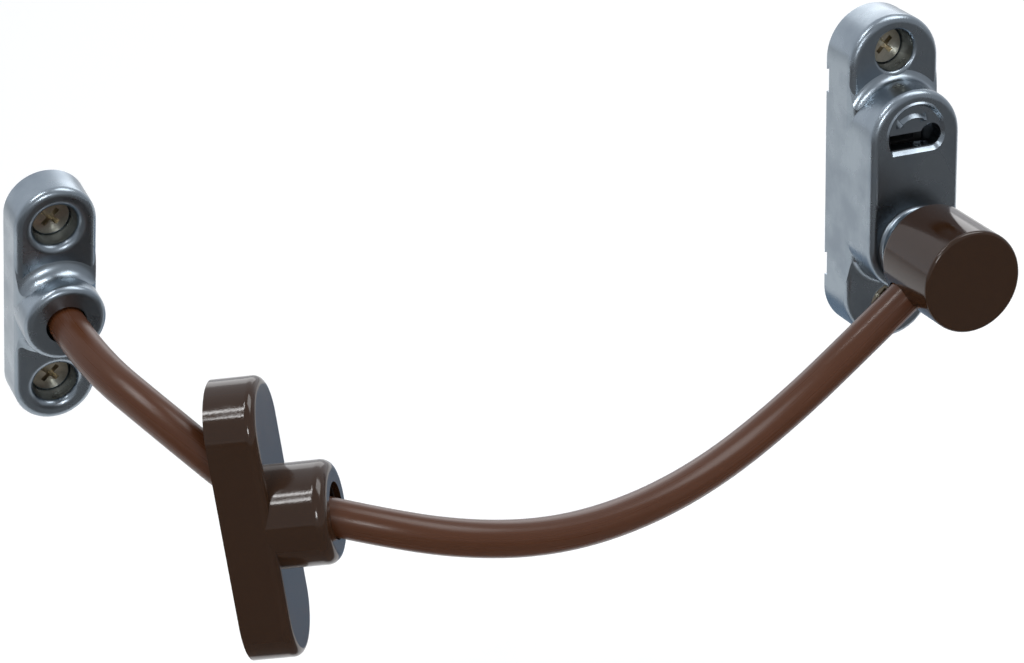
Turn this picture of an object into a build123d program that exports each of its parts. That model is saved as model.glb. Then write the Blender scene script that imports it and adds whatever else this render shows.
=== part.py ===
from build123d import *
import os
from math import cos, radians, sin, tan

# Driving sizes in millimetres. Each plate is drawn in its own frame: x to the right, y up, z out of the wall.

# Lock body
lock_width = 21.0
lock_length = 72.0
lock_pad_depth = 10.3
lock_face_depth = 19.8
lock_edge_radius = 1.6
lock_foot_radius = 2.2
lock_front_wall = 4.2
raised_top = 11.9
plug_height = -11.4
lock_screw_inset = 7.6
collar_radius = 7.8
collar_height = 4.4
collar_foot_radius = 0.9
collar_rim_radius = 0.4
foot_slope = 20.0
foot_sink = 0.4
foot_overlap = 0.05

# Keyhole
recess_height = 12.9
recess_radius = 6.1
recess_lower_edge = 9.6
recess_depth = 0.9
recess_wall_slope = 38.0
recess_corner_radius = 2.0
key_post_x = 3.8
key_post_radius = 2.4
key_slot_bottom = 9.9
key_slot_height = 3.3
key_slot_left = -6.0

# Back of the lock body
pocket_width = 12.6
pocket_land = 2.0
pocket_corner_radius = 2.0
back_plate_width = 14.8
back_plate_length = 47.0
back_plate_thickness = 1.5
back_plate_gap = 0.1
back_plate_screw_inset = 2.9
back_plate_screw_radius = 1.25
back_plate_head_radius = 2.3
back_plate_screw_length = 6.0
notch_depth = 2.2
notch_reach = 2.0
notch_start = 18.2
notch_length = 4.8
notch_slant = 1.5

# Latch and its spring
latch_width = 12.0
latch_thickness = 2.4
latch_depth = 8.8
latch_travel = 2.2
latch_head_room = 1.6
latch_shoulder = -3.0
latch_tongue_width = 6.4
latch_bite_gap = 0.2
latch_window_width = 8.4
latch_window_height = 6.0
latch_window_rim = 2.1
spring_radius = 1.7
spring_wire_radius = 0.3
spring_turns = 3
spring_length = 3.9
spring_bore_gap = 0.3
spring_seat_gap = 0.05

# Plug
plug_radius = 11.0
plug_length = 19.0
plug_lift = 0.8
plug_back_radius = 1.4
plug_front_radius = 0.8
plug_end_wall = 6.8
plug_side_wall = 1.3
hub_radius = 5.5
spindle_radius = 3.05
sleeve_radius = 5.5
sleeve_end_depth = 6.2
sleeve_chamfer = 0.8
groove_radius = 4.2
groove_side_gap = 0.2
running_gap = 0.05
end_gap = 0.2
clip_thickness = 0.8
clip_radius = 4.8
clip_seat_radius = 2.5
clip_opening = 3.6
spindle_tail = 1.4
cable_entry_depth = 5.5
cable_entry_angle = 38.0

# Cable and its two wire stops
cable_radius = 3.72
cable_hole_gap = 0.33
wire_radius = 2.0
wire_hole_gap = 0.1
cable_plug_gap = 0.4
plug_ferrule_radius = 3.3
plug_ferrule_length = 3.7
ferrule_gap = 0.2
bracket_ferrule_radius = 5.2
bracket_ferrule_length = 5.2
bracket_lead = 19.0
plug_lead = 18.2
cable_route = [
    (-169.5, -31.0, -14.0),
    (-155.5, -43.5, -27.0),
    (-139.0, -54.0, -32.0),
    (-121.0, -58.0, -37.5),
    (-101.0, -55.5, -42.5),
    (-80.0, -48.5, -45.0),
    (-59.0, -41.0, -43.5),
    (-38.5, -34.5, -37.0),
]

# Bracket
bracket_place = (-178.8, 13.0, 0.0)
bracket_tilt = 13.0
bracket_width = 16.7
bracket_length = 54.2
bracket_pad_depth = 7.8
bracket_face_depth = 14.3
bracket_edge_radius = 1.5
bracket_foot_radius = 3.0
bracket_screw_inset = 8.5
bracket_hole_radius = 4.2
bracket_back_pocket_depth = 6.0

# Bracket cover
cover_axis = (0.850, -0.507, 0.142)
cover_across = (0.520, 0.851, -0.078)
cover_hole_place = (-143.0, -50.9, -29.7)
cover_wall = 0.9
cover_side_gap = 0.85
cover_end_gap = 0.15
cover_cap_depth = 9.8
cover_boss_depth = 10.5
cover_edge_radius = 1.8
cover_boss_edge_radius = 2.4
cover_hole_radius = 5.6
cover_front_wall = 1.2

# Wood screws
screw_radius = 2.0
screw_neck_radius = 1.8
screw_neck_end = 0.3
screw_head_radius = 3.8
screw_head_rim = 0.4
lock_screw_sink = 4.8
bracket_screw_sink = 4.2
screw_reach = 10.0
screw_point = 3.5
screw_hole_gap = 0.2
screw_seat_gap = 0.05
screw_seat_clearance = 0.25
screw_seat_radius = 4.5
lock_seat_rim = 0.8
bracket_seat_rim = 1.7
cross_length = 4.4
cross_width = 1.0
cross_depth = 1.9

# Places that follow from the sizes above
collar_depth = lock_face_depth + collar_height
pocket_depth = lock_face_depth - lock_front_wall
plug_back = collar_depth + plug_lift
plug_front = plug_back + plug_length
cable_depth = plug_back + cable_entry_depth
sleeve_bore_radius = sleeve_radius + running_gap
hub_bore_radius = hub_radius + running_gap
hub_bore_end = plug_front - plug_end_wall
cable_hole_radius = cable_radius + cable_hole_gap
cable_plug_reach = hub_radius + cable_plug_gap
cable_bracket_depth = bracket_back_pocket_depth + ferrule_gap
back_plate_screw_spacing = back_plate_length - 2 * back_plate_screw_inset
pocket_top = back_plate_screw_spacing / 2 - pocket_land
latch_top = pocket_top - latch_head_room
latch_window_middle = latch_top - latch_window_rim - latch_window_height / 2
latch_middle = latch_depth + latch_thickness / 2
latch_bite_height = plug_height + latch_travel
latch_bite_radius = groove_radius + latch_bite_gap
spring_bottom = latch_top + spring_seat_gap
spring_bore_top = spring_bottom + spring_length + spring_seat_gap
lock_screw_spacing = lock_length - 2 * lock_screw_inset
bracket_screw_spacing = bracket_length - 2 * bracket_screw_inset

lock_plane = Plane(origin=(0, 0, 0), x_dir=(1, 0, 0), z_dir=(0, -1, 0))
tilt = radians(bracket_tilt)
bracket_plane = Plane(origin=bracket_place, x_dir=(1, 0, 0), z_dir=(0, -cos(tilt), -sin(tilt)))
cover_tip = Plane(origin=cover_hole_place, x_dir=cover_across, z_dir=cover_axis)
cover_plane = cover_tip.offset(-cover_cap_depth - cover_boss_depth)

UP_FROM_BASE = (Align.CENTER, Align.CENTER, Align.MIN)


def rod(radius, start, end):
    """Cylinder on the z axis between two depths."""
    return Pos(0, 0, start) * Cylinder(radius, end - start, align=UP_FROM_BASE)


def spoke(radius, start, end):
    """Cylinder along the cable entry, start and end measured outward from the plug axis."""
    lying = Rot(0, 90, 0) * rod(radius, start, end)
    return Pos(0, 0, cable_depth) * Rot(0, 0, 180 + cable_entry_angle) * lying


def turned(points):
    """Solid of revolution about the z axis from (radius, depth) corners."""
    return revolve(Plane.XZ * make_face(Polyline(*points, close=True)), Axis.Z)


def front_edges(solid):
    return solid.faces().sort_by(Axis.Z)[-1].edges()


def rounded_slot(length, width, depth, radius):
    """Upright round-ended block with its front edge rounded."""
    block = extrude(SlotOverall(length, width, rotation=90), depth)
    return fillet(front_edges(block), radius)


def concave_foot(wall_radius, pad_depth, edge_radius, foot_radius):
    """Ring that blends a round wall into the pad and runs out below the pad's rounded edge."""
    slope = radians(foot_slope)
    middle = radians(225 - foot_slope / 2)
    start_r = wall_radius - foot_overlap
    centre_r = start_r + foot_radius
    centre_d = pad_depth + foot_radius
    arc_start = (start_r, centre_d)
    arc_middle = (centre_r + foot_radius * cos(middle), centre_d + foot_radius * sin(middle))
    arc_end = (centre_r - foot_radius * sin(slope), centre_d - foot_radius * cos(slope))
    floor = pad_depth - edge_radius - foot_sink
    run = (arc_end[1] - floor) / tan(slope)
    arc = ThreePointArc(arc_start, arc_middle, arc_end)
    rest = Polyline(arc_end, (arc_end[0] + run, floor), (0, floor), (0, centre_d), arc_start)
    return revolve(Plane.XZ * make_face(Curve() + [arc, rest]), Axis.Z)


def screw_seat(pad_depth, sink, rim_radius):
    """Clearance hole, countersink and deep tapered dish with a rounded rim for one screw head."""
    seat = pad_depth - sink - screw_head_rim - screw_seat_gap
    hole = screw_radius + screw_hole_gap
    bore = screw_head_radius + screw_seat_clearance
    cone_low = seat - (screw_head_radius - hole)
    cone_high = seat + screw_seat_clearance
    rim_low = pad_depth - rim_radius
    rim_far = screw_seat_radius + rim_radius
    bend = rim_radius * (1 - sin(radians(45)))
    rim_start = (screw_seat_radius, rim_low)
    rim = ThreePointArc(rim_start, (screw_seat_radius + bend, pad_depth - bend), (rim_far, pad_depth))
    rest = Polyline(
        (rim_far, pad_depth),
        (rim_far, pad_depth + 1),
        (0, pad_depth + 1),
        (0, -1),
        (hole, -1),
        (hole, cone_low),
        (bore, cone_high),
        rim_start,
    )
    return revolve(Plane.XZ * make_face(Curve() + [rim, rest]), Axis.Z)


def wood_screw(head_depth):
    """Countersunk screw with a cross recess, its point behind the plate."""
    under_head = head_depth - screw_head_rim
    neck = under_head - (screw_head_radius - screw_neck_radius)
    body = turned(
        [
            (0, -screw_reach),
            (0.3, -screw_reach),
            (screw_radius, screw_point - screw_reach),
            (screw_radius, -screw_neck_end),
            (screw_neck_radius, -screw_neck_end),
            (screw_neck_radius, neck),
            (screw_head_radius, under_head),
            (screw_head_radius, head_depth),
            (0, head_depth),
        ]
    )
    for angle in (45, 135):
        slot = Box(cross_length, cross_width, 2 * cross_depth)
        body -= Pos(0, 0, head_depth) * Rot(0, 0, angle) * slot
    return body


def casting(length, width, pad_depth, edge_radius, foot_radius, raised, foot_heights):
    """Round-ended plate with a raised block whose round ends stand on concave feet."""
    plate = rounded_slot(length, width, pad_depth, edge_radius)
    inset = 2 * foot_overlap
    limit = rounded_slot(length - inset, width - inset, pad_depth + foot_radius, edge_radius + foot_radius)
    body = plate + raised
    for height in foot_heights:
        foot = Pos(0, height) * concave_foot(width / 2, pad_depth, edge_radius, foot_radius)
        body += foot & limit
    return body


def screw_places(spacing):
    return [Pos(0, spacing / 2), Pos(0, -spacing / 2)]


def collar():
    low = lock_face_depth - 1
    foot_r = collar_radius + collar_foot_radius
    foot_top = lock_face_depth + collar_foot_radius
    bend = collar_foot_radius * (1 - sin(radians(45)))
    rim_bend = collar_rim_radius * (1 - sin(radians(45)))
    rim_low = collar_depth - collar_rim_radius
    rim_in = collar_radius - collar_rim_radius
    foot = ThreePointArc(
        (foot_r, lock_face_depth),
        (collar_radius + bend, lock_face_depth + bend),
        (collar_radius, foot_top),
    )
    wall = Line((collar_radius, foot_top), (collar_radius, rim_low))
    rim = ThreePointArc(
        (collar_radius, rim_low),
        (collar_radius - rim_bend, collar_depth - rim_bend),
        (rim_in, collar_depth),
    )
    rest = Polyline((rim_in, collar_depth), (0, collar_depth), (0, low), (foot_r, low), (foot_r, lock_face_depth))
    return revolve(Plane.XZ * make_face(Curve() + [foot, wall, rim, rest]), Axis.Z)


def key_opening():
    """Shallow round recess with a straight lower edge, and the keyhole through the front wall."""
    below = Pos(0, recess_lower_edge - recess_radius) * Rectangle(3 * recess_radius, 2 * recess_radius)
    recess = Pos(0, recess_height) * Circle(recess_radius) - below
    corner = recess.vertices().group_by(Axis.Y)[0].sort_by(Axis.X)[-1]
    recess = fillet(corner, recess_corner_radius)
    rise = 1.5 * recess_depth
    dish = Pos(0, 0, lock_face_depth - recess_depth) * extrude(recess, rise, taper=-recess_wall_slope)
    post = Pos(key_post_x, key_slot_bottom + key_post_radius) * Circle(key_post_radius)
    slot_length = key_post_x - key_slot_left
    slot_middle = (key_post_x + key_slot_left) / 2
    slot = Pos(slot_middle, key_slot_bottom + key_slot_height / 2) * Rectangle(slot_length, key_slot_height)
    hole = Pos(0, 0, pocket_depth - 1) * extrude(post + slot, lock_front_wall + 2)
    return dish + hole


def notch(start, length, slant):
    """Slot in the back edge of one side wall, its far end slanted."""
    outline = Polyline(
        (start, -1),
        (start, notch_depth),
        (start + length - slant, notch_depth),
        (start + length + slant / notch_depth, -1),
        close=True,
    )
    return extrude(Plane.YZ * make_face(outline), lock_width)


def lock_body():
    middle = (raised_top + plug_height) / 2
    raised = rounded_slot(raised_top - plug_height + lock_width, lock_width, lock_face_depth, lock_edge_radius)
    body = casting(
        lock_length,
        lock_width,
        lock_pad_depth,
        lock_edge_radius,
        lock_foot_radius,
        Pos(0, middle) * raised,
        (raised_top, plug_height),
    )
    body += Pos(0, plug_height) * collar()
    for place in screw_places(lock_screw_spacing):
        body -= place * screw_seat(lock_pad_depth, lock_screw_sink, lock_seat_rim)
    pocket = RectangleRounded(pocket_width, 2 * pocket_top, pocket_corner_radius)
    body -= Pos(0, 0, -1) * extrude(pocket, pocket_depth + 1)
    body -= Pos(0, plug_height) * rod(sleeve_bore_radius, back_plate_thickness, collar_depth + 1)
    body -= key_opening()
    plate_width = back_plate_width + 2 * back_plate_gap
    plate_length = back_plate_length + 2 * back_plate_gap
    seat = RectangleRounded(plate_width, plate_length, pocket_corner_radius)
    body -= Pos(0, 0, -1) * extrude(seat, back_plate_thickness + 1)
    for place in screw_places(back_plate_screw_spacing):
        body -= place * rod(back_plate_screw_radius + running_gap, 0, back_plate_screw_length + end_gap)
    spring_bore = rod(spring_radius + spring_wire_radius + spring_bore_gap, pocket_top - 1, spring_bore_top)
    body -= Pos(0, 0, latch_middle) * Rot(-90, 0, 0) * spring_bore
    for place in (Pos(lock_width / 2 - notch_reach), Rot(0, 180, 0) * Pos(lock_width / 2 - notch_reach)):
        for height in (1, -1):
            cut = notch(notch_start, notch_length, notch_slant)
            if height < 0:
                cut = Pos(0, -2 * notch_start - notch_length) * cut
            body -= place * cut
    return body


def lock_back_plate():
    plate = extrude(RectangleRounded(back_plate_width, back_plate_length, pocket_corner_radius), back_plate_thickness)
    head = back_plate_head_radius + running_gap
    hole = back_plate_screw_radius + running_gap
    for place in screw_places(back_plate_screw_spacing):
        seat = turned([(0, -1), (head, -1), (head, 0.1), (hole, 0.1 + head - hole), (hole, 3), (0, 3)])
        plate -= place * seat
    return plate


def back_plate_screws():
    screw = turned(
        [
            (0, 0.1),
            (back_plate_head_radius, 0.1),
            (back_plate_screw_radius, 0.1 + back_plate_head_radius - back_plate_screw_radius),
            (back_plate_screw_radius, back_plate_screw_length),
            (0, back_plate_screw_length),
        ]
    )
    screw -= Pos(0, 0, 0.1) * Box(2 * back_plate_head_radius + 1, 0.6, 1.2)
    return Compound([place * screw for place in screw_places(back_plate_screw_spacing)])


def latch_plate():
    """Flat plate with a key window and a hollow-ended tongue over the plug groove."""
    blade_height = latch_top - latch_shoulder
    blade = Pos(0, (latch_top + latch_shoulder) / 2) * Rectangle(latch_width, blade_height)
    tongue_height = latch_shoulder - latch_bite_height
    tongue = Pos(0, latch_shoulder - tongue_height / 2) * Rectangle(latch_tongue_width, tongue_height)
    bite = Pos(0, latch_bite_height) * Circle(latch_bite_radius)
    window = Pos(0, latch_window_middle) * Rectangle(latch_window_width, latch_window_height)
    return Pos(0, 0, latch_depth) * extrude(blade + tongue - bite - window, latch_thickness)


def latch_spring():
    height = spring_length - 2 * spring_wire_radius
    coil = Helix(pitch=height / spring_turns, height=height, radius=spring_radius)
    wire = sweep(Plane(coil @ 0, z_dir=coil % 0) * Circle(spring_wire_radius), path=coil, is_frenet=True)
    return Pos(0, spring_bottom + spring_wire_radius, latch_middle) * Rot(-90, 0, 0) * wire


def plug_sleeve():
    bore = spindle_radius + running_gap
    top = plug_back - running_gap
    low = latch_depth - groove_side_gap
    high = latch_depth + latch_thickness + groove_side_gap
    return turned(
        [
            (bore, sleeve_end_depth),
            (sleeve_radius - sleeve_chamfer, sleeve_end_depth),
            (sleeve_radius, sleeve_end_depth + sleeve_chamfer),
            (sleeve_radius, low),
            (groove_radius, low),
            (groove_radius, high),
            (sleeve_radius, high),
            (sleeve_radius, top),
            (bore, top),
        ]
    )


def plug_spindle():
    clip_top = sleeve_end_depth - end_gap
    clip_bottom = clip_top - clip_thickness
    slack = end_gap / 2
    body = turned(
        [
            (0, clip_bottom - spindle_tail),
            (spindle_radius, clip_bottom - spindle_tail),
            (spindle_radius, clip_bottom - slack),
            (clip_seat_radius, clip_bottom - slack),
            (clip_seat_radius, clip_top + slack),
            (spindle_radius, clip_top + slack),
            (spindle_radius, plug_back + end_gap),
            (hub_radius, plug_back + end_gap),
            (hub_radius, hub_bore_end),
            (0, hub_bore_end),
        ]
    )
    return body - spoke(wire_radius + wire_hole_gap, -2 * hub_radius, 2 * hub_radius)


def plug_clip():
    clip_top = sleeve_end_depth - end_gap
    clip_bottom = clip_top - clip_thickness
    ring = rod(clip_radius, clip_bottom, clip_top) - rod(clip_seat_radius + running_gap, 0, plug_back)
    return ring - Pos(0, -clip_radius, clip_bottom) * Box(clip_opening, 2 * clip_radius, 4 * clip_thickness)


def plug_cap():
    body = rod(plug_radius, plug_back, plug_front)
    body = fillet(front_edges(body), plug_front_radius)
    body = fillet(body.faces().sort_by(Axis.Z)[0].edges(), plug_back_radius)
    body -= rod(hub_bore_radius, plug_back - 1, hub_bore_end)
    body -= spoke(cable_hole_radius, 0, 2 * plug_radius)
    return body - spoke(plug_ferrule_radius + ferrule_gap, plug_side_wall - plug_radius, 0)


def plug_wire_stop():
    far = -hub_radius - ferrule_gap - plug_ferrule_length
    return spoke(wire_radius, far, cable_plug_reach) + spoke(plug_ferrule_radius, far, far + plug_ferrule_length)


def cable_points():
    """Route from the wire stop in the bracket, out of the boss, to the hub inside the plug."""
    entry = radians(cable_entry_angle)
    start = bracket_plane.from_local_coords((0, 0, cable_bracket_depth))
    lead_out = bracket_plane.from_local_coords((0, 0, cable_bracket_depth + bracket_lead))
    ends = []
    for reach in (cable_plug_reach + plug_lead, cable_plug_reach):
        ends.append(Vector(-reach * cos(entry), -cable_depth, plug_height - reach * sin(entry)))
    return [start, lead_out] + [Vector(*point) for point in cable_route] + ends


def bend_radii(points):
    """Radius at each corner so that its arc takes up to 45 per cent of the shorter run."""
    radii = []
    for before, here, after in zip(points, points[1:], points[2:]):
        first = here - before
        second = after - here
        turn = radians(first.get_angle(second))
        radii.append(0.45 * min(first.length, second.length) / tan(turn / 2))
    return radii


def cable():
    points = cable_points()
    radii = bend_radii(points)
    print("cable bend radii", [round(radius, 1) for radius in radii])
    path = FilletPolyline(*points, radius=radii)
    tube = sweep(Plane(path @ 0, z_dir=path % 0) * Circle(cable_radius), path=path)
    print("cable length", round(path.length, 1), "volume ratio", round(tube.volume / path.length / cable_radius**2, 4))
    return tube


def bracket_body():
    raised = fillet(front_edges(rod(bracket_width / 2, 0, bracket_face_depth)), bracket_edge_radius)
    body = casting(
        bracket_length,
        bracket_width,
        bracket_pad_depth,
        bracket_edge_radius,
        bracket_foot_radius,
        raised,
        (0,),
    )
    for place in screw_places(bracket_screw_spacing):
        body -= place * screw_seat(bracket_pad_depth, bracket_screw_sink, bracket_seat_rim)
    body -= rod(bracket_hole_radius, -1, bracket_face_depth + 1)
    return body - rod(bracket_ferrule_radius + ferrule_gap, -1, bracket_back_pocket_depth)


def bracket_wire_stop():
    top = bracket_back_pocket_depth - ferrule_gap
    ferrule = rod(bracket_ferrule_radius, top - bracket_ferrule_length, top)
    return ferrule + rod(wire_radius, top - bracket_ferrule_length, cable_bracket_depth)


def bracket_cover():
    """Thin shell that follows the bracket, with a tall boss and a hole that runs on the cable."""
    inner_width = bracket_width + 2 * cover_side_gap
    inner_length = bracket_length + 2 * cover_end_gap
    width = inner_width + 2 * cover_wall
    length = inner_length + 2 * cover_wall
    top = cover_cap_depth + cover_boss_depth
    boss = fillet(front_edges(rod(width / 2, 0, top)), cover_boss_edge_radius)
    shell = rounded_slot(length, width, cover_cap_depth, cover_edge_radius) + boss
    inner_radius = cover_edge_radius - cover_wall
    shell -= Pos(0, 0, -1) * rounded_slot(inner_length, inner_width, cover_cap_depth - cover_wall + 1, inner_radius)
    hollow = rod(inner_width / 2, 0, top - cover_front_wall)
    shell -= fillet(front_edges(hollow), cover_boss_edge_radius - cover_wall)
    return shell - rod(cover_hole_radius, 0, top + 1)


upper_lock, lower_lock = screw_places(lock_screw_spacing)
upper_bracket, lower_bracket = screw_places(bracket_screw_spacing)
plug_place = Pos(0, plug_height)

nodes = {
    "lock_body": lock_plane * lock_body(),
    "lock_back_plate": lock_plane * lock_back_plate(),
    "back_plate_screws": lock_plane * back_plate_screws(),
    "latch_plate": lock_plane * latch_plate(),
    "latch_spring": lock_plane * latch_spring(),
    "lock_screw_upper": lock_plane * upper_lock * wood_screw(lock_pad_depth - lock_screw_sink),
    "lock_screw_lower": lock_plane * lower_lock * wood_screw(lock_pad_depth - lock_screw_sink),
    "plug_sleeve": lock_plane * plug_place * plug_sleeve(),
    "plug_spindle": lock_plane * plug_place * plug_spindle(),
    "plug_clip": lock_plane * plug_place * plug_clip(),
    "plug_cap": lock_plane * plug_place * plug_cap(),
    "plug_wire_stop": lock_plane * plug_place * plug_wire_stop(),
    "cable": cable(),
    "bracket_body": bracket_plane * bracket_body(),
    "bracket_wire_stop": bracket_plane * bracket_wire_stop(),
    "bracket_screw_upper": bracket_plane * upper_bracket * wood_screw(bracket_pad_depth - bracket_screw_sink),
    "bracket_screw_lower": bracket_plane * lower_bracket * wood_screw(bracket_pad_depth - bracket_screw_sink),
    "bracket_cover": cover_plane * bracket_cover(),
}

os.makedirs("parts", exist_ok=True)
for name, shape in nodes.items():
    export_step(shape, "parts/" + name + ".step")
    print(name, round(shape.volume, 1))
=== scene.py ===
import bpy
import numpy as np
from mathutils import Matrix, Vector


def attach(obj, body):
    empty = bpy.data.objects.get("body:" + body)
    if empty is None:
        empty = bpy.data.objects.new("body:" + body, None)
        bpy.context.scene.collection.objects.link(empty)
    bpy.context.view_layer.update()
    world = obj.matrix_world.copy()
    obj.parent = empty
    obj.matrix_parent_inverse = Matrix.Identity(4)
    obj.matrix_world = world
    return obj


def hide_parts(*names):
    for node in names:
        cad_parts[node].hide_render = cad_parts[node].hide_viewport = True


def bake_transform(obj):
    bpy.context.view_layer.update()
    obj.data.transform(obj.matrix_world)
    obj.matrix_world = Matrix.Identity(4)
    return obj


bl_info = {
    "name": "Cable window restrictor",
    "version": (1, 0, 0),
    "blender": (4, 5, 0),
    "location": "View3D > Sidebar > Restrictor",
    "description": "Dresses the locking cable window restrictor and sets its studio",
    "category": "Object",
}

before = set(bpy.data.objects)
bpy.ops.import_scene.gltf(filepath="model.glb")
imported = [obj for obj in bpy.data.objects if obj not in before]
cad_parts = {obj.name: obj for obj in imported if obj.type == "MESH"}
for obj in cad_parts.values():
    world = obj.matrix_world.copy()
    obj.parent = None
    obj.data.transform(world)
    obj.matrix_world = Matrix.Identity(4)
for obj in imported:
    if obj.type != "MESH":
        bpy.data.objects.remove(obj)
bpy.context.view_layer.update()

# Cable route, from the wire stop in the bracket to the hub inside the plug, in metres.
CABLE_ROUTE = [
    (-0.1788, 0.0070, -0.0014),
    (-0.1788, -0.0116, -0.0057),
    (-0.1695, -0.0310, -0.0140),
    (-0.1555, -0.0435, -0.0280),
    (-0.1390, -0.0540, -0.0320),
    (-0.1210, -0.0580, -0.0375),
    (-0.1010, -0.0555, -0.0425),
    (-0.0800, -0.0485, -0.0450),
    (-0.0590, -0.0410, -0.0435),
    (-0.0385, -0.0345, -0.0370),
    (-0.0190, -0.0305, -0.0262),
    (-0.0046, -0.0305, -0.0150),
]
CASTING_FINISH = "die_cast_zinc_passivated"
# Where each wood screw leaves the back of its casting, in metres, and the casting's tilt in degrees.
SCREW_BACKS = {
    "lock_screw_upper": ((0.0, 0.0, 0.0284), 0.0),
    "lock_screw_lower": ((0.0, 0.0, -0.0284), 0.0),
    "bracket_screw_upper": ((-0.1788, 0.00882, 0.01812), 13.0),
    "bracket_screw_lower": ((-0.1788, 0.01718, -0.01812), 13.0),
}
# Middles of the turn arrow and of the recess across the lock face, and the depths they stand on.
ARROW_CENTRE = (-0.0003, 0.01215)
RECESS_CENTRE = (0.0, 0.0129)
RECESS_RADIUS = 0.0068
RECESS_DEPTH = 0.0189
FACE_DEPTH = 0.0198
# Each lamp's place, its width and height, and the property that holds its power.
LAMPS = {
    "left_strip_near": ((-0.55, -0.26, 0.75), (0.04, 0.45), "left_power"),
    "left_strip_far": ((-0.55, -0.14, 0.75), (0.04, 0.45), "left_power"),
    "right_panel": ((0.35, -0.25, 0.80), (0.45, 0.6), "right_power"),
    "back_window": ((0.30, 0.90, 0.45), (0.9, 0.5), "back_power"),
    "front_lamp": ((-0.25, -0.65, 0.20), (0.12, 0.12), "front_power"),
}
LAMP_TARGET = (-0.1, 0.0, 0.0)
# Opposite corners of the floor and of the cards on it.
FLOOR_CORNERS = ((-4.0, -4.0), (4.0, 4.0))
CARD_CORNERS = {
    "dark_card": ((-1.0, -1.2), (1.0, -0.03)),
    "blue_card": ((-0.08, 0.02), (0.1, 0.24)),
}
CARD_LIFT = 0.005
MATT_ROUGHNESS = 0.9
SENSOR_WIDTH = 36.0
CAMERA_PLACE = (-0.36833, -0.65668, 0.27392)
CAMERA_RIGHT = (0.91377, -0.40567, -0.02124)
CAMERA_AHEAD = (0.36737, 0.84757, -0.38296)


class RestrictorSizes(bpy.types.PropertyGroup):
    """Sizes of the pieces that dress the model"""

    cable_diameter: bpy.props.FloatProperty(
        name="Cable diameter",
        description="Outside of the plastic coating",
        default=0.00744,
        subtype="DISTANCE",
        unit="LENGTH",
    )
    cable_tail: bpy.props.FloatProperty(
        name="Cable tail",
        description="Length at the plug end that turns with the plug",
        default=0.085,
        subtype="DISTANCE",
        unit="LENGTH",
    )
    cable_lap: bpy.props.FloatProperty(
        name="Cable lap",
        description="How far each of the two lengths of cable runs on inside the other",
        default=0.005,
        subtype="DISTANCE",
        unit="LENGTH",
    )
    thread_pitch: bpy.props.FloatProperty(
        name="Thread pitch",
        description="Rise of the wood screw thread in one turn",
        default=0.0018,
        subtype="DISTANCE",
        unit="LENGTH",
    )
    thread_height: bpy.props.FloatProperty(
        name="Thread height",
        description="How far the thread stands out of the shank",
        default=0.0003,
        subtype="DISTANCE",
        unit="LENGTH",
    )
    arrow_radius: bpy.props.FloatProperty(
        name="Arrow radius",
        description="Radius of the turn arrow over the keyhole",
        default=0.0046,
        subtype="DISTANCE",
        unit="LENGTH",
    )
    arrow_height: bpy.props.FloatProperty(
        name="Arrow height",
        description="How far the turn arrow stands out of its recess",
        default=0.0007,
        subtype="DISTANCE",
        unit="LENGTH",
    )
    lip_height: bpy.props.FloatProperty(
        name="Lip height",
        description="How far the lip of the recess stands out of the face",
        default=0.00035,
        subtype="DISTANCE",
        unit="LENGTH",
    )


class RestrictorColours(bpy.types.PropertyGroup):
    """Colours of the finishes, as sRGB hex codes"""

    zinc: bpy.props.StringProperty(
        name="Zinc", description="Passivated zinc castings", default="959FA7"
    )
    zinc_shade: bpy.props.StringProperty(
        name="Zinc shade", description="Duller areas of the castings", default="87919A"
    )
    yellow_zinc: bpy.props.StringProperty(
        name="Yellow zinc", description="Passivated screws", default="C8BFAC"
    )
    yellow_zinc_tint: bpy.props.StringProperty(
        name="Screw tint", description="Rainbow tint of the screws", default="B0A894"
    )
    plated_steel: bpy.props.StringProperty(
        name="Plated steel", description="Plate behind the lock", default="A3A9AE"
    )
    plated_shade: bpy.props.StringProperty(
        name="Plated shade", description="Duller areas of the plate", default="8E959B"
    )
    steel: bpy.props.StringProperty(
        name="Steel", description="Turned inner pieces", default="9EA1A4"
    )
    brown_plastic: bpy.props.StringProperty(
        name="Brown plastic", description="Plug cap and cover", default="301E11"
    )
    brown_cable: bpy.props.StringProperty(
        name="Brown cable", description="Plastic coating of the cable", default="4D2C19"
    )
    floor: bpy.props.StringProperty(
        name="Floor", description="Studio floor", default="F7F7F6"
    )
    dark_card: bpy.props.StringProperty(
        name="Dark card", description="Card in front of the object", default="706E6D"
    )
    blue_card: bpy.props.StringProperty(
        name="Blue card", description="Card behind the object", default="8295A8"
    )
    room: bpy.props.StringProperty(
        name="Room", description="Light of the room", default="F6F9FF"
    )


class RestrictorStudio(bpy.types.PropertyGroup):
    """Camera and light of the studio"""

    lens: bpy.props.FloatProperty(
        name="Lens", description="Focal length in millimetres", default=131.66
    )
    floor_height: bpy.props.FloatProperty(
        name="Floor height",
        description="Height of the floor",
        default=-0.12,
        subtype="DISTANCE",
        unit="LENGTH",
    )
    floor_glow: bpy.props.FloatProperty(
        name="Floor glow", description="White added to the floor as a background", default=0.17
    )
    left_power: bpy.props.FloatProperty(
        name="Left strips", description="Power of each strip at top left", default=1.2
    )
    right_power: bpy.props.FloatProperty(
        name="Right panel", description="Power of the panel at top right", default=3.4
    )
    back_power: bpy.props.FloatProperty(
        name="Back window", description="Power of the window behind", default=2.2
    )
    front_power: bpy.props.FloatProperty(
        name="Front lamp", description="Power of the lamp by the camera", default=0.8
    )
    world_strength: bpy.props.FloatProperty(
        name="World", description="Level of the room light", default=0.45
    )
    room_strength: bpy.props.FloatProperty(
        name="Room in front", description="Level that mirrors show of the room in front", default=0.5
    )


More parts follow.
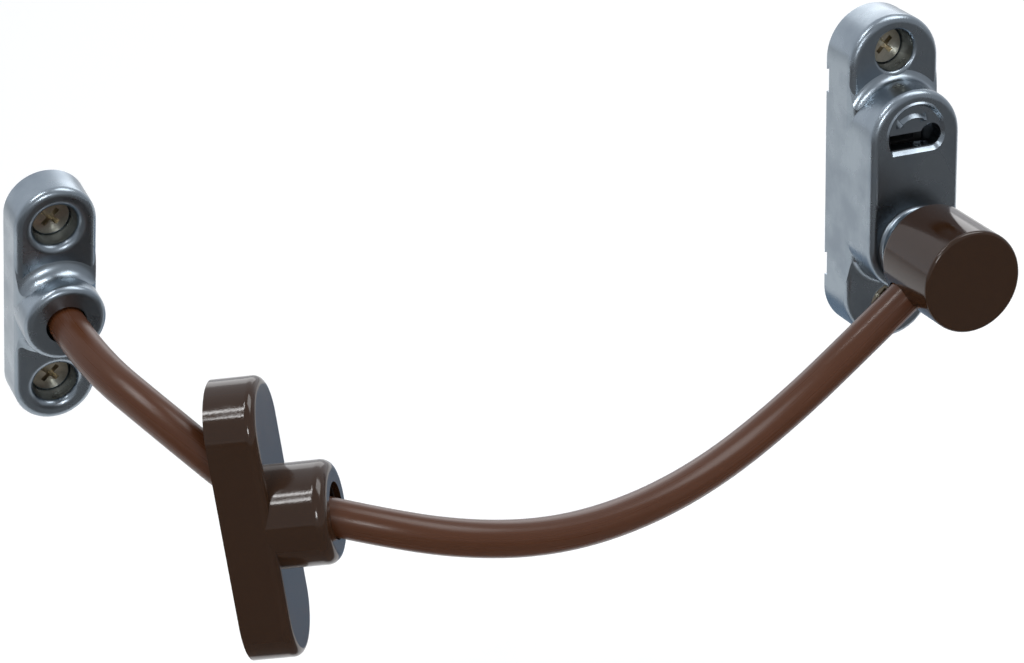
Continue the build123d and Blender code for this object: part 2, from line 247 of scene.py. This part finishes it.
def linear(code):
    """Linear colour of an sRGB hex code: the lower part divided by 12.92, the rest by the 2.4 power curve."""
    value = np.array([int(code[i : i + 2], 16) for i in (0, 2, 4)]) / 255
    curve = np.where(value <= 0.04045, value / 12.92, ((value + 0.055) / 1.055) ** 2.4)
    return (*curve.tolist(), 1.0)


def add_node(tree, kind, settings=None, inputs=None, links=None):
    """Adds a node, sets its properties and input values, and links other sockets to its inputs."""
    made = tree.nodes.new(kind)
    for key, value in (settings or {}).items():
        setattr(made, key, value)
    for key, value in (inputs or {}).items():
        made.inputs[key].default_value = value
    for key, socket in (links or {}).items():
        tree.links.new(socket, made.inputs[key])
    return made


def blank_material(name):
    material = bpy.data.materials.new(name)
    material.use_nodes = True
    tree = material.node_tree
    return material, tree, tree.nodes["Principled BSDF"]


def per_metre(size_mm):
    """Noise scale whose features are about size_mm across."""
    return 1000.0 / size_mm


def die_cast_zinc(colours):
    """Die-cast zinc, tumbled and bright passivated: a cool soft mirror with faint clouds and a fine peel."""
    material, tree, shader = blank_material(CASTING_FINISH)
    place = add_node(tree, "ShaderNodeTexCoord").outputs["Object"]
    clouds = add_node(
        tree, "ShaderNodeTexNoise", inputs={"Scale": per_metre(7.0), "Detail": 4.0}, links={"Vector": place}
    ).outputs["Fac"]
    peel = add_node(
        tree, "ShaderNodeTexNoise", inputs={"Scale": per_metre(0.9), "Detail": 3.0}, links={"Vector": place}
    ).outputs["Fac"]
    dull = add_node(
        tree,
        "ShaderNodeMapRange",
        inputs={"From Min": 0.35, "From Max": 0.65, "To Min": 0.0, "To Max": 1.0},
        links={"Value": clouds},
    ).outputs["Result"]
    mix = add_node(
        tree,
        "ShaderNodeMix",
        settings={"data_type": "RGBA"},
        inputs={"A": linear(colours.zinc_shade), "B": linear(colours.zinc)},
        links={"Factor": dull},
    )
    gloss = add_node(
        tree,
        "ShaderNodeMapRange",
        inputs={"From Min": 0.3, "From Max": 0.7, "To Min": 0.34, "To Max": 0.24},
        links={"Value": clouds},
    )
    bump = add_node(
        tree, "ShaderNodeBump", inputs={"Strength": 0.12, "Distance": 0.0001}, links={"Height": peel}
    )
    tree.links.new(mix.outputs["Result"], shader.inputs["Base Color"])
    tree.links.new(gloss.outputs["Result"], shader.inputs["Roughness"])
    tree.links.new(bump.outputs["Normal"], shader.inputs["Normal"])
    shader.inputs["Metallic"].default_value = 1.0
    return material


def yellow_zinc(colours):
    """Zinc plated steel with a yellow passivation: a golden metal that shifts in colour in small patches."""
    material, tree, shader = blank_material("yellow_passivated_zinc")
    place = add_node(tree, "ShaderNodeTexCoord").outputs["Object"]
    patches = add_node(
        tree, "ShaderNodeTexNoise", inputs={"Scale": per_metre(2.0), "Detail": 3.0}, links={"Vector": place}
    ).outputs["Fac"]
    tint = add_node(
        tree,
        "ShaderNodeMapRange",
        inputs={"From Min": 0.4, "From Max": 0.6, "To Min": 0.0, "To Max": 1.0},
        links={"Value": patches},
    ).outputs["Result"]
    mix = add_node(
        tree,
        "ShaderNodeMix",
        settings={"data_type": "RGBA"},
        inputs={"A": linear(colours.yellow_zinc), "B": linear(colours.yellow_zinc_tint)},
        links={"Factor": tint},
    )
    gloss = add_node(
        tree,
        "ShaderNodeMapRange",
        inputs={"From Min": 0.3, "From Max": 0.7, "To Min": 0.28, "To Max": 0.42},
        links={"Value": patches},
    )
    tree.links.new(mix.outputs["Result"], shader.inputs["Base Color"])
    tree.links.new(gloss.outputs["Result"], shader.inputs["Roughness"])
    shader.inputs["Metallic"].default_value = 1.0
    return material


def zinc_plated_steel(colours):
    """Pressed steel with a bright zinc plating: a pale metal, evenly dull, with a faint crystal mottle."""
    material, tree, shader = blank_material("zinc_plated_steel")
    place = add_node(tree, "ShaderNodeTexCoord").outputs["Object"]
    mottle = add_node(
        tree, "ShaderNodeTexNoise", inputs={"Scale": per_metre(3.0), "Detail": 2.0}, links={"Vector": place}
    ).outputs["Fac"]
    mix = add_node(
        tree,
        "ShaderNodeMix",
        settings={"data_type": "RGBA"},
        inputs={"A": linear(colours.plated_shade), "B": linear(colours.plated_steel)},
        links={"Factor": mottle},
    )
    gloss = add_node(
        tree,
        "ShaderNodeMapRange",
        inputs={"From Min": 0.3, "From Max": 0.7, "To Min": 0.34, "To Max": 0.42},
        links={"Value": mottle},
    )
    tree.links.new(mix.outputs["Result"], shader.inputs["Base Color"])
    tree.links.new(gloss.outputs["Result"], shader.inputs["Roughness"])
    shader.inputs["Metallic"].default_value = 1.0
    return material


def turned_steel(colours):
    """Plain turned steel: a grey metal with a fine uneven gloss."""
    material, tree, shader = blank_material("turned_steel")
    place = add_node(tree, "ShaderNodeTexCoord").outputs["Object"]
    marks = add_node(
        tree, "ShaderNodeTexNoise", inputs={"Scale": per_metre(0.6), "Detail": 4.0}, links={"Vector": place}
    ).outputs["Fac"]
    gloss = add_node(
        tree,
        "ShaderNodeMapRange",
        inputs={"From Min": 0.3, "From Max": 0.7, "To Min": 0.28, "To Max": 0.42},
        links={"Value": marks},
    )
    tree.links.new(gloss.outputs["Result"], shader.inputs["Roughness"])
    shader.inputs["Base Color"].default_value = linear(colours.steel)
    shader.inputs["Metallic"].default_value = 1.0
    return material


def moulded_plastic(colours):
    """Brown ABS from a polished mould: dark, with a clear gloss that a slight waviness breaks up."""
    material, tree, shader = blank_material("moulded_brown_abs")
    place = add_node(tree, "ShaderNodeTexCoord").outputs["Object"]
    waves = add_node(
        tree, "ShaderNodeTexNoise", inputs={"Scale": per_metre(5.0), "Detail": 3.0}, links={"Vector": place}
    ).outputs["Fac"]
    grain = add_node(
        tree, "ShaderNodeTexNoise", inputs={"Scale": per_metre(0.5), "Detail": 3.0}, links={"Vector": place}
    ).outputs["Fac"]
    gloss = add_node(
        tree,
        "ShaderNodeMapRange",
        inputs={"From Min": 0.3, "From Max": 0.7, "To Min": 0.1, "To Max": 0.16},
        links={"Value": waves},
    )
    bump = add_node(
        tree, "ShaderNodeBump", inputs={"Strength": 0.08, "Distance": 0.0001}, links={"Height": grain}
    )
    tree.links.new(gloss.outputs["Result"], shader.inputs["Roughness"])
    tree.links.new(bump.outputs["Normal"], shader.inputs["Normal"])
    shader.inputs["Base Color"].default_value = linear(colours.brown_plastic)
    shader.inputs["IOR"].default_value = 1.46
    return material


def extruded_pvc(colours):
    """Brown PVC drawn over the wire: a soft gloss with faint lines along the cable."""
    material, tree, shader = blank_material("extruded_brown_pvc")
    lines_around = 40.0
    line_length_mm = 40.0
    stretch = (lines_around, per_metre(line_length_mm), 1.0)
    around = add_node(tree, "ShaderNodeUVMap", settings={"uv_map": "along"}).outputs["UV"]
    drawn = add_node(
        tree, "ShaderNodeMapping", inputs={"Scale": stretch}, links={"Vector": around}
    ).outputs["Vector"]
    lines = add_node(
        tree, "ShaderNodeTexNoise", inputs={"Scale": 1.0, "Detail": 2.0}, links={"Vector": drawn}
    ).outputs["Fac"]
    gloss = add_node(
        tree,
        "ShaderNodeMapRange",
        inputs={"From Min": 0.3, "From Max": 0.7, "To Min": 0.26, "To Max": 0.31},
        links={"Value": lines},
    )
    bump = add_node(
        tree, "ShaderNodeBump", inputs={"Strength": 0.008, "Distance": 0.0001}, links={"Height": lines}
    )
    tree.links.new(gloss.outputs["Result"], shader.inputs["Roughness"])
    tree.links.new(bump.outputs["Normal"], shader.inputs["Normal"])
    shader.inputs["Base Color"].default_value = linear(colours.brown_cable)
    shader.inputs["IOR"].default_value = 1.4
    return material


def finish_node(name, material):
    """Gives a CAD node its finish."""
    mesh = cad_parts[name].data
    mesh.materials.clear()
    mesh.materials.append(material)


def grid_piece(name, points, material, uv=None, faceted=False):
    """Mesh from a grid of points, joined row to row and round each row. A row with no width is a pole."""
    rows, around = points.shape[:2]
    here = np.arange(rows - 1)[:, None] * around + np.arange(around)[None, :]
    beside = np.arange(rows - 1)[:, None] * around + (np.arange(around)[None, :] + 1) % around
    faces = np.stack([here, beside, beside + around, here + around], axis=-1).reshape(-1, 4)
    mesh = bpy.data.meshes.new(name)
    mesh.from_pydata(points.reshape(-1, 3), [], faces)
    if uv is not None:
        layer = mesh.uv_layers.new(name="along")
        column = np.tile(np.array([0, 1, 1, 0]), len(faces))
        corner = faces.reshape(-1)
        spread = (np.repeat(np.arange(len(faces)) % around, 4) + column) / around
        layer.data.foreach_set("uv", np.stack([spread, uv[corner // around]], axis=-1).ravel())
    mesh.polygons.foreach_set("use_smooth", np.full(len(faces), not faceted))
    mesh.materials.append(material)
    mesh.validate()
    piece = bpy.data.objects.new(name, mesh)
    bpy.context.scene.collection.objects.link(piece)
    return piece


def route_points():
    """Points of the smooth line that has the route as its control points."""
    curve = bpy.data.curves.new("cable_route", "CURVE")
    curve.dimensions = "3D"
    spline = curve.splines.new("NURBS")
    spline.points.add(len(CABLE_ROUTE) - 1)
    spline.points.foreach_set("co", [value for point in CABLE_ROUTE for value in (*point, 1.0)])
    spline.order_u = 3
    spline.use_endpoint_u = True
    curve.resolution_u = 24
    carrier = bpy.data.objects.new("cable_route", curve)
    line = bpy.data.meshes.new_from_object(carrier)
    points = np.empty(len(line.vertices) * 3)
    line.vertices.foreach_get("co", points)
    bpy.data.objects.remove(carrier)
    bpy.data.meshes.remove(line)
    return points.reshape(-1, 3)


def tube(points, radius, around=48):
    """Rings of a tube along points: each is the line's point plus its own radius times the cosine of the
    angle along the upward normal and its sine along the cross normal."""
    ahead = np.gradient(points, axis=0)
    ahead /= np.linalg.norm(ahead, axis=1, keepdims=True)
    up = np.array([0.0, 0.0, 1.0]) - ahead * ahead[:, 2:3]
    up /= np.linalg.norm(up, axis=1, keepdims=True)
    side = np.cross(ahead, up)
    angle = np.linspace(0, 2 * np.pi, around, endpoint=False)
    ring = np.cos(angle)[None, :, None] * up[:, None, :] + np.sin(angle)[None, :, None] * side[:, None, :]
    return points[:, None, :] + radius[:, None, None] * ring


def close_ends(rings):
    """Adds a ring of no width at the middle of the first and of the last ring."""
    middles = np.broadcast_to(rings[[0, -1]].mean(axis=1, keepdims=True), (2, *rings.shape[1:]))
    return np.concatenate([middles[:1], rings, middles[1:]], axis=0)


def along(points):
    return np.concatenate([[0.0], np.cumsum(np.linalg.norm(np.diff(points, axis=0), axis=1))])


class RESTRICTOR_OT_castings(bpy.types.Operator):
    """Finish the two zinc castings"""

    bl_idname = "restrictor.castings"
    bl_label = "Castings"

    def execute(self, context):
        zinc = die_cast_zinc(context.scene.restrictor_colours)
        for name in ("lock_body", "bracket_body"):
            finish_node(name, zinc)
        return {"FINISHED"}


class RESTRICTOR_OT_back_plate(bpy.types.Operator):
    """Finish the plate behind the lock and its two screws"""

    bl_idname = "restrictor.back_plate"
    bl_label = "Back plate"

    def execute(self, context):
        plated = zinc_plated_steel(context.scene.restrictor_colours)
        for name in ("lock_back_plate", "back_plate_screws"):
            finish_node(name, plated)
        return {"FINISHED"}


class RESTRICTOR_OT_inner_pieces(bpy.types.Operator):
    """Finish the steel pieces of the latch, the plug and the wire stops"""

    bl_idname = "restrictor.inner_pieces"
    bl_label = "Inner steel pieces"

    def execute(self, context):
        steel = turned_steel(context.scene.restrictor_colours)
        names = (
            "latch_plate",
            "latch_spring",
            "plug_sleeve",
            "plug_spindle",
            "plug_clip",
            "plug_wire_stop",
            "bracket_wire_stop",
        )
        for name in names:
            finish_node(name, steel)
        return {"FINISHED"}


def screw_thread(sizes, back, tilt):
    """Thread ridge: the helix angle runs along the rows, and each ring is a low oval loop that stands out of
    the shank by the thread's height and fades to nothing at both ends. It rises by the pitch each turn."""
    start = 0.0010
    cone_start = 0.0065
    tip = 0.0100
    shank_radius = 0.0020
    tip_radius = 0.0003
    root = 0.0001
    turns = 4.7
    lead_in = 0.06
    run_out = 0.05
    angle = np.linspace(0, 2 * np.pi * turns, 200)
    part = angle / angle[-1]
    depth = start + part * turns * sizes.thread_pitch
    taper = np.clip((depth - cone_start) / (tip - cone_start), 0, 1)
    shank = shank_radius - (shank_radius - tip_radius) * taper
    fade = np.clip(part / lead_in, 0, 1) * np.clip((1 - part) / run_out, 0, 1)
    loop = np.linspace(0, 2 * np.pi, 10, endpoint=False)
    crest = (sizes.thread_height + root) * fade
    out = shank[:, None] - root + crest[:, None] * (0.5 + 0.5 * np.cos(loop))
    rise = depth[:, None] + sizes.thread_pitch / 4 * fade[:, None] * np.sin(loop)
    local = np.stack([out * np.cos(angle)[:, None], rise, out * np.sin(angle)[:, None]], axis=-1)
    lean = np.array(Matrix.Rotation(np.radians(tilt), 3, "X"))
    return local @ lean.T + np.array(back)


class RESTRICTOR_OT_screws(bpy.types.Operator):
    """Finish the wood screws and give their shanks a thread"""

    bl_idname = "restrictor.screws"
    bl_label = "Wood screws"

    def execute(self, context):
        sizes = context.scene.restrictor_sizes
        gold = yellow_zinc(context.scene.restrictor_colours)
        for name, (back, tilt) in SCREW_BACKS.items():
            finish_node(name, gold)
            thread = grid_piece(name + "_thread", screw_thread(sizes, back, tilt), gold)
            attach(thread, "base")
        return {"FINISHED"}


class RESTRICTOR_OT_mouldings(bpy.types.Operator):
    """Finish the plug cap and the bracket cover"""

    bl_idname = "restrictor.mouldings"
    bl_label = "Brown mouldings"

    def execute(self, context):
        brown = moulded_plastic(context.scene.restrictor_colours)
        for name in ("plug_cap", "bracket_cover"):
            finish_node(name, brown)
        return {"FINISHED"}


class RESTRICTOR_OT_cable(bpy.types.Operator):
    """Make the coated cable in two lengths, with the length at the plug end as a piece of its own"""

    bl_idname = "restrictor.cable"
    bl_label = "Coated cable"

    def execute(self, context):
        sizes = context.scene.restrictor_sizes
        pvc = extruded_pvc(context.scene.restrictor_colours)
        points = route_points()
        length = along(points)
        seam = int(np.searchsorted(length, length[-1] - sizes.cable_tail))
        past = (length - length[seam]) / sizes.cable_lap
        lap_start, lap_end = np.searchsorted(past, (-1.0, 1.0))
        lap_thinning = 0.5
        runs = {
            "cable_main": (slice(0, lap_end + 1), past),
            "cable_tail": (slice(lap_start, None), -past),
        }
        made = {}
        for name, (run, lap) in runs.items():
            # Past the seam, each length thins as the cube of its lap, so only the other one shows.
            radius = sizes.cable_diameter / 2 * (1 - lap_thinning * np.clip(lap, 0, 1) ** 3)
            reach = length[run]
            uv = np.concatenate([reach[:1], reach, reach[-1:]])
            made[name] = grid_piece(name, close_ends(tube(points, radius)[run]), pvc, uv)
            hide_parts("cable")
        main = made["cable_main"]
        tail = made["cable_tail"]
        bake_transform(main)
        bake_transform(tail)
        return {"FINISHED"}


def face_ridge(centre, radius, angle, half_width, height, ground, crest):
    """Ridge along an arc on a surface that faces the front: each ring is a roof with its feet the half width
    inside and outside the arc and its top the height above the ground, and a last corner sunk below the
    ground. The crest is the top's place between the feet, from -1 at the inner one to 1 at the outer one."""
    sunk = -0.4
    across = np.array([1.0, crest, -1.0, 0.0])
    rise = np.array([0.0, 1.0, 0.0, sunk])
    reach = radius + half_width[:, None] * across
    x = centre[0] + reach * np.cos(angle)[:, None]
    z = centre[1] + reach * np.sin(angle)[:, None]
    return np.stack([x, -ground - height[:, None] * rise, z], axis=-1)


def nearer_end(count):
    """Share of the way from the nearer end of an arc, 0 at both ends and a half in the middle."""
    return np.minimum(np.linspace(0, 1, count), np.linspace(1, 0, count))


def turn_arrow(sizes):
    """Arc with a head at each end: the half width falls from the head's to nothing at the tips."""
    head_length = 0.18
    head_half_width = 0.0012
    band_half_width = 0.0006
    tip_length = 0.08
    crest = -0.3
    angle = np.radians(np.linspace(150, 42, 91))
    end = nearer_end(91)
    width = np.where(end < head_length, head_half_width * end / head_length, band_half_width)
    height = sizes.arrow_height * np.clip(end / tip_length, 0, 1)
    return face_ridge(ARROW_CENTRE, sizes.arrow_radius, angle, width, height, RECESS_DEPTH, crest)


def recess_lip(sizes):
    """Low arc round the upper left edge of the recess, which thins to nothing at both ends."""
    half_width = 0.00035
    fade_length = 0.12
    crest = 0.0
    angle = np.radians(np.linspace(216, 38, 121))
    fade = np.clip(nearer_end(121) / fade_length, 0, 1)
    height = sizes.lip_height * fade
    return face_ridge(RECESS_CENTRE, RECESS_RADIUS, angle, half_width * fade, height, FACE_DEPTH, crest)


class RESTRICTOR_OT_keyhole_marks(bpy.types.Operator):
    """Make the raised arrow that shows which way the key turns, and the lip of its recess"""

    bl_idname = "restrictor.keyhole_marks"
    bl_label = "Keyhole marks"

    def execute(self, context):
        sizes = context.scene.restrictor_sizes
        zinc = bpy.data.materials[CASTING_FINISH]
        marks = {"turn_arrow": turn_arrow(sizes), "recess_lip": recess_lip(sizes)}
        for name, points in marks.items():
            mark = grid_piece(name, points, zinc, faceted=True)
            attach(mark, "base")
        return {"FINISHED"}


def area_light(name, place, size, power):
    lamp = bpy.data.lights.new(name, "AREA")
    lamp.shape = "RECTANGLE"
    lamp.size = size[0]
    lamp.size_y = size[1]
    lamp.energy = power
    holder = bpy.data.objects.new(name, lamp)
    holder.location = place
    holder.rotation_euler = (Vector(LAMP_TARGET) - Vector(place)).to_track_quat("-Z", "Y").to_euler()
    bpy.context.scene.collection.objects.link(holder)


def background_rays(tree):
    """1 for a ray that shows the background: from the camera, off a mirror or through glass. Otherwise 0."""
    path = add_node(tree, "ShaderNodeLightPath").outputs
    mirror = add_node(tree, "ShaderNodeMath", settings={"operation": "MAXIMUM"})
    tree.links.new(path["Is Camera Ray"], mirror.inputs[0])
    tree.links.new(path["Is Glossy Ray"], mirror.inputs[1])
    glass = add_node(tree, "ShaderNodeMath", settings={"operation": "MAXIMUM"})
    tree.links.new(mirror.outputs["Value"], glass.inputs[0])
    tree.links.new(path["Is Transmission Ray"], glass.inputs[1])
    return glass.outputs["Value"]


def stage_sheet(name, corners, height, material):
    """Flat four-sided sheet of the stage between two opposite corners."""
    (left, near), (right, far) = corners
    mesh = bpy.data.meshes.new(name)
    places = [(left, near, height), (right, near, height), (right, far, height), (left, far, height)]
    mesh.from_pydata(places, [], [(0, 1, 2, 3)])
    mesh.materials.append(material)
    sheet = bpy.data.objects.new(name, mesh)
    bpy.context.scene.collection.objects.link(sheet)
    return sheet


class RESTRICTOR_OT_stage(bpy.types.Operator):
    """Set the floor, the cards, the light and the camera"""

    bl_idname = "restrictor.stage"
    bl_label = "Studio"

    def execute(self, context):
        studio = context.scene.restrictor_studio
        colours = context.scene.restrictor_colours
        scene = context.scene
        scene.view_settings.view_transform = "Standard"
        self.floor(studio, colours)
        self.cards(studio, colours)
        self.world(scene, studio, colours)
        for name, (place, size, power) in LAMPS.items():
            area_light(name, place, size, getattr(studio, power))
        self.camera(scene, studio)
        return {"FINISHED"}

    def floor(self, studio, colours):
        material, tree, shader = blank_material("matt_studio_floor")
        glow = add_node(
            tree,
            "ShaderNodeMapRange",
            inputs={"To Max": studio.floor_glow},
            links={"Value": background_rays(tree)},
        )
        tree.links.new(glow.outputs["Result"], shader.inputs["Emission Strength"])
        shader.inputs["Emission Color"].default_value = (1.0, 1.0, 1.0, 1.0)
        shader.inputs["Base Color"].default_value = linear(colours.floor)
        shader.inputs["Roughness"].default_value = MATT_ROUGHNESS
        stage_sheet("floor", FLOOR_CORNERS, studio.floor_height, material)

    def cards(self, studio, colours):
        """Dark card on the floor in front and a blue one behind, which the front faces and the cover mirror.
        Only mirrors show them."""
        for name, corners in CARD_CORNERS.items():
            material, _, shader = blank_material("matt_" + name)
            shader.inputs["Base Color"].default_value = linear(getattr(colours, name))
            shader.inputs["Roughness"].default_value = MATT_ROUGHNESS
            card = stage_sheet(name, corners, studio.floor_height + CARD_LIFT, material)
            card.visible_camera = False
            card.visible_diffuse = False
            card.visible_shadow = False

    def world(self, scene, studio, colours):
        world = bpy.data.worlds.new("studio_room")
        world.use_nodes = True
        tree = world.node_tree
        ahead = add_node(tree, "ShaderNodeTexCoord").outputs["Generated"]
        depth = add_node(tree, "ShaderNodeSeparateXYZ", links={"Vector": ahead}).outputs["Y"]
        behind = add_node(
            tree,
            "ShaderNodeMapRange",
            inputs={"From Min": -0.2, "From Max": 0.5, "To Min": studio.room_strength, "To Max": 1.0},
            links={"Value": depth},
        ).outputs["Result"]
        seen = add_node(tree, "ShaderNodeMath", settings={"operation": "MAXIMUM"})
        tree.links.new(add_node(tree, "ShaderNodeLightPath").outputs["Is Camera Ray"], seen.inputs[0])
        tree.links.new(behind, seen.inputs[1])
        level = add_node(
            tree,
            "ShaderNodeMapRange",
            inputs={"To Min": studio.world_strength},
            links={"Value": background_rays(tree), "To Max": seen.outputs["Value"]},
        )
        background = tree.nodes["Background"]
        tree.links.new(level.outputs["Result"], background.inputs["Strength"])
        background.inputs["Color"].default_value = linear(colours.room)
        scene.world = world

    def camera(self, scene, studio):
        lens = bpy.data.cameras.new("photo_camera")
        lens.sensor_fit = "HORIZONTAL"
        lens.sensor_width = SENSOR_WIDTH
        lens.lens = studio.lens
        holder = bpy.data.objects.new("photo_camera", lens)
        right = Vector(CAMERA_RIGHT).normalized()
        ahead = Vector(CAMERA_AHEAD).normalized()
        up = right.cross(ahead).normalized()
        turn = Matrix((right, up, -ahead)).transposed().to_4x4()
        holder.matrix_world = Matrix.Translation(CAMERA_PLACE) @ turn
        scene.collection.objects.link(holder)
        scene.camera = holder


class RESTRICTOR_PT_panel(bpy.types.Panel):
    """Lists the steps that dress the restrictor"""

    bl_idname = "RESTRICTOR_PT_panel"
    bl_label = "Cable window restrictor"
    bl_space_type = "VIEW_3D"
    bl_region_type = "UI"
    bl_category = "Restrictor"

    def draw(self, context):
        for step in STEPS:
            self.layout.operator(step.bl_idname)
        for group in ("restrictor_sizes", "restrictor_colours", "restrictor_studio"):
            values = getattr(context.scene, group)
            for key in values.__annotations__:
                self.layout.prop(values, key)


STEPS = (
    RESTRICTOR_OT_castings,
    RESTRICTOR_OT_back_plate,
    RESTRICTOR_OT_inner_pieces,
    RESTRICTOR_OT_screws,
    RESTRICTOR_OT_mouldings,
    RESTRICTOR_OT_cable,
    RESTRICTOR_OT_keyhole_marks,
    RESTRICTOR_OT_stage,
)
GROUPS = {
    "restrictor_sizes": RestrictorSizes,
    "restrictor_colours": RestrictorColours,
    "restrictor_studio": RestrictorStudio,
}


def register():
    for group in GROUPS.values():
        bpy.utils.register_class(group)
    for step in STEPS:
        bpy.utils.register_class(step)
    bpy.utils.register_class(RESTRICTOR_PT_panel)
    for name, group in GROUPS.items():
        setattr(bpy.types.Scene, name, bpy.props.PointerProperty(type=group))


def unregister():
    for name in GROUPS:
        delattr(bpy.types.Scene, name)
    bpy.utils.unregister_class(RESTRICTOR_PT_panel)
    for step in reversed(STEPS):
        bpy.utils.unregister_class(step)
    for group in reversed(list(GROUPS.values())):
        bpy.utils.unregister_class(group)


def main():
    register()
    bpy.ops.restrictor.castings()
    bpy.ops.restrictor.back_plate()
    bpy.ops.restrictor.inner_pieces()
    bpy.ops.restrictor.screws()
    bpy.ops.restrictor.mouldings()
    bpy.ops.restrictor.cable()
    bpy.ops.restrictor.keyhole_marks()
    bpy.ops.restrictor.stage()
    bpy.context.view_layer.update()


if __name__ == "__main__":
    main()
